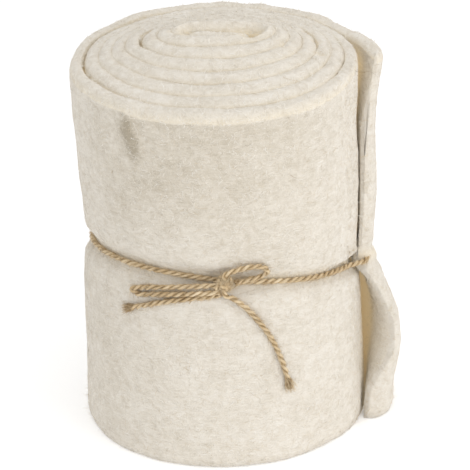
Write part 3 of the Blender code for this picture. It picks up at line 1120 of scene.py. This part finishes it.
def felt_piece():
    stations, size = FELT_POINTS.shape[:2]
    index = np.arange(stations * size).reshape(stations, size)
    faces = ring_faces(index) + cut_end(index[0], True) + cut_end(index[-1], False)
    mesh = bpy.data.meshes.new("needled_felt")
    mesh.from_pydata((FELT_POINTS.reshape(-1, 3) * MM).tolist(), [], faces)
    # Painted crevice light and painted shade, kept on the points for the felt's finish.
    keep_on_points(mesh, "sheltered", FELT_PAINTED_CREVICE_LIGHT)
    keep_on_points(mesh, "dark", FELT_PAINTED_SHADE)
    felt = placed("needled_felt", mesh, FELT_UVS.reshape(-1, 2), WOOL)
    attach(felt, "root")
    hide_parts("felt_roll")


def cut_end(ring, start):
    """Faces that close the cut end, between the outer and the inner rows of its outline."""
    ring = ring.tolist()
    faces = []
    low, high = 0, len(ring) - 1
    turn_next = True
    while high - low > 1:
        if turn_next:
            faces.append((ring[low], ring[low + 1], ring[high]))
            low += 1
        else:
            faces.append((ring[low], ring[high - 1], ring[high]))
            high -= 1
        turn_next = low * (len(ring) - 1 - RIM_TOP_ROW) <= (len(ring) - 1 - high) * RIM_TOP_ROW
    return [face[::-1] if start else face for face in faces]


felt_piece()


# Fibres.


def picked_places(chance, weights, count):
    """Random places on the felt's surface, more of them where the weights are higher."""
    corner_a = FELT_POINTS[:-1, :-1]
    side_a = FELT_POINTS[1:, :-1] - corner_a
    side_b = FELT_POINTS[:-1, 1:] - corner_a
    area = np.linalg.norm(np.cross(side_a, side_b), axis=-1) * weights[:-1, :-1]
    total = np.cumsum(area.ravel())
    cell = np.searchsorted(total, chance.random(count) * total[-1])
    cell = np.minimum(cell, area.size - 1)
    station, row = np.divmod(cell, area.shape[1])
    u = chance.random(count)[:, None]
    v = chance.random(count)[:, None]
    place = corner_a[station, row] + side_a[station, row] * u + side_b[station, row] * v
    return place, FELT_OUT[station, row]


def wool_fibres(name, seed, weights, count, lift, length, width, curl, shade, steps):
    """Fibres of the felt's own wool, set off at these angles to its surface, in degrees."""
    chance = np.random.default_rng(seed)
    count = int(count * SHARE_OF_FUZZ)
    place, out = picked_places(chance, weights, count)
    random = chance.normal(size=(count, 3))
    level = unit(random - out * np.sum(random * out, axis=1, keepdims=True))
    angle = np.radians(chance.uniform(*lift, count))[:, None]
    way = level * np.cos(angle) + out * np.sin(angle)
    turned = np.cross(out, level)
    aside = curl * np.clip(chance.normal(size=(count, 1)), -1.5, 1.5)
    bend = turned * aside - out * np.sin(angle) * chance.uniform(0.3, 1.1, (count, 1))
    kink = turned * chance.normal(0.0, 0.12 * curl, (count, 1))
    flat = unit(np.cross(way, out) + 0.3 * chance.normal(size=(count, 3)))
    sizes = drawn(chance, count, length, width, shade)
    made = strands(name, place - out * 0.1, way, bend, kink, flat, *sizes, steps, WOOL_FIBRE)
    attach(made, "root")


def felt_zones():
    """Shares of fibres for each zone of the felt's grid of points."""
    share, across, over = felt_rows()
    turns = FELT_TURNS
    height = FELT_POINTS[..., 2]
    outer_side = (across > 0.5) & (over < 0.3)
    inner_side = (across < -0.5) & (over < 0.3)
    outermost = eased(6.95, 7.08, turns) * outer_side
    rims = 1.0 * ((over > 0.0) | (share > 0.985)) + 0.0 * turns
    end_lip = (turns > 7.99) * inner_side * 1.0 + (turns > 8.045) * 1.5
    mouth = eased(7.0, 7.02, turns) * (turns < 7.075) * outer_side
    off_twine = np.abs(height - twine_height(angle_of(turns + 1.0)))
    by_twine = outermost * np.exp(-(((off_twine - 2.8) / 1.3) ** 2))
    return {
        "face": outermost + 0.8 * end_lip,
        "rims": rims,
        "outline": outermost + rims * 0.6 + end_lip * 1.5,
        "gap": mouth + 0.7 * end_lip * inner_side,
        "by_twine": by_twine,
    }


def all_fibres():
    zones = felt_zones()
    rows = (
        # name, zone, count, lift, length, width, curl, shade, steps
        ("matted_fibres", "face", 21000, (1.0, 8.0), (1.4, 4.0), (0.09, 0.16), 0.7, (0.22, 1.0), 4),
        ("short_fuzz", "face", 26000, (8.0, 45.0), (0.8, 2.0), (0.09, 0.16), 0.7, (0.3, 1.0), 3),
        ("rim_fuzz", "rims", 18000, (2.0, 35.0), (1.2, 3.8), (0.12, 0.20), 0.8, (0.4, 1.0), 4),
        ("outline_fuzz", "outline", 20000, (25.0, 85.0), (1.0, 3.3), (0.18, 0.29), 0.7, (0.45, 1.0), 3),
        # The gap fibres take the low, tan shades: painted crevice light, as on the felt there.
        ("gap_fuzz", "gap", 7000, (15.0, 80.0), (2.0, 6.0), (0.12, 0.22), 0.6, (0.0, 0.6), 4),
        ("fuzz_by_twine", "by_twine", 2000, (12.0, 60.0), (1.6, 4.2), (0.06, 0.11), 0.6, (0.4, 1.0), 4),
        ("stray_hairs", "outline", 320, (5.0, 45.0), (3.5, 8.5), (0.06, 0.09), 0.9, (0.3, 0.9), 9),
    )
    for seed, (name, zone, *fibres) in enumerate(rows, 21):
        wool_fibres(name, seed, zones[zone], *fibres)


LONG_HAIRS = (
    # start from the roll's axis, way, bend, length, shade
    ((-26.0, 44.0, 151.0), (0.90, 0.10, 0.25), (0.10, 0.00, -0.30), 9.0, 0.15),
    ((-2.0, 43.0, 153.0), (0.70, 0.00, 0.60), (0.20, 0.00, -0.40), 5.0, 0.30),
    ((8.0, -30.0, 156.0), (0.95, -0.05, 0.10), (0.10, 0.35, 0.00), 10.0, 0.35),
    ((24.0, -28.0, 154.0), (0.70, -0.50, 0.10), (0.10, 0.30, 0.00), 6.0, 0.40),
    ((38.0, -30.0, 151.0), (0.60, -0.60, 0.15), (-0.90, -0.20, 0.00), 9.0, 0.40),
    ((44.0, -25.0, 150.0), (-0.50, -0.70, 0.05), (1.30, 0.20, -0.20), 10.0, 0.45),
    ((60.0, -14.0, 149.0), (0.95, -0.20, 0.15), (0.10, 0.00, -0.40), 8.0, 0.05),
    ((60.0, -15.0, 146.0), (0.60, -0.50, -0.30), (0.30, 0.20, 0.30), 7.0, 0.20),
    ((25.7, -46.4, 123.7), (0.50, -0.15, -0.80), (0.30, 0.00, 0.20), 5.0, 0.05),
    ((37.0, -38.0, 126.0), (0.40, -0.20, 0.85), (-0.50, 0.00, 0.00), 4.5, 0.20),
    ((-38.0, -34.0, 120.0), (-0.40, -0.10, -0.70), (0.30, 0.00, 0.30), 4.0, 0.40),
    ((12.0, -51.0, 38.0), (0.70, 0.00, 0.50), (0.00, 0.00, -0.60), 4.5, 0.35),
)


def long_hairs():
    """The few long hairs that are darker than the wool they lie on."""
    chance = np.random.default_rng(51)
    surface = FELT_POINTS.reshape(-1, 3)
    starts, outs = [], []
    for place, *_ in LONG_HAIRS:
        nearest = np.argmin(np.linalg.norm(surface - (np.array(place) + AXIS), axis=1))
        starts.append(surface[nearest])
        outs.append(FELT_OUT.reshape(-1, 3)[nearest])
    starts, outs = np.array(starts), np.array(outs)
    ways = unit(np.array([row[1] for row in LONG_HAIRS]) + 0.3 * outs)
    bends = np.array([row[2] for row in LONG_HAIRS])
    kinks = 0.07 * chance.normal(size=ways.shape)
    lengths = np.array([row[3] for row in LONG_HAIRS])
    shades = np.array([row[4] for row in LONG_HAIRS])
    flats = unit(np.cross(ways, outs))
    widths = np.full(len(starts), 0.13)
    made = strands("long_hairs", starts, ways, bends, kinks, flats, lengths, widths, shades, 12, JUTE_FIBRE)
    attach(made, "root")


all_fibres()
long_hairs()


# Floor and light.


FLOOR_GLOW = 0.24
SKY_STRENGTH = 0.76


def pale_floor():
    bpy.ops.object.select_all(action="DESELECT")
    bpy.ops.mesh.primitive_plane_add(size=8.0, location=(0.0, 0.0, -0.0003))
    floor = bpy.context.active_object
    floor.name = "studio_floor"
    white = Finish("studio_white", 0.9)
    white.shader.inputs["Base Color"].default_value = (0.93, 0.93, 0.93, 1.0)
    white.shader.inputs["Specular IOR Level"].default_value = 0.1
    white.shader.inputs["Emission Color"].default_value = (1.0, 1.0, 1.0, 1.0)
    white.shader.inputs["Emission Strength"].default_value = FLOOR_GLOW
    floor.data.materials.append(white.material)


def soft_box(name, place, aim, size, power, colour):
    """A square light, with its size in metres and its power in watts, turned towards aim."""
    light = bpy.data.lights.new(name, "AREA")
    light.shape = "SQUARE"
    light.size = size
    light.energy = power
    light.color = colour
    toward = unit(np.array(aim) - np.array(place))
    side = unit(np.cross(toward, (0.0, 0.0, 1.0)))
    aimed(name, light, side, np.cross(side, toward), toward, place)


def studio_light():
    world = bpy.data.worlds.new("studio")
    world.use_nodes = True
    sky = world.node_tree.nodes["Background"]
    sky.inputs["Color"].default_value = (1.0, 1.0, 1.0, 1.0)
    sky.inputs["Strength"].default_value = SKY_STRENGTH
    bpy.context.scene.world = world
    soft_box("key_from_the_right", (1.15, -1.05, 0.55), (0.0, 0.0, 0.06), 0.8, 5.2, (1.0, 0.97, 0.94))
    soft_box("light_from_above", (0.1, -0.3, 1.7), (0.0, 0.0, 0.1), 1.0, 5.0, (1.0, 1.0, 1.0))
    bpy.context.scene.view_settings.view_transform = "Standard"


pale_floor()
studio_light()
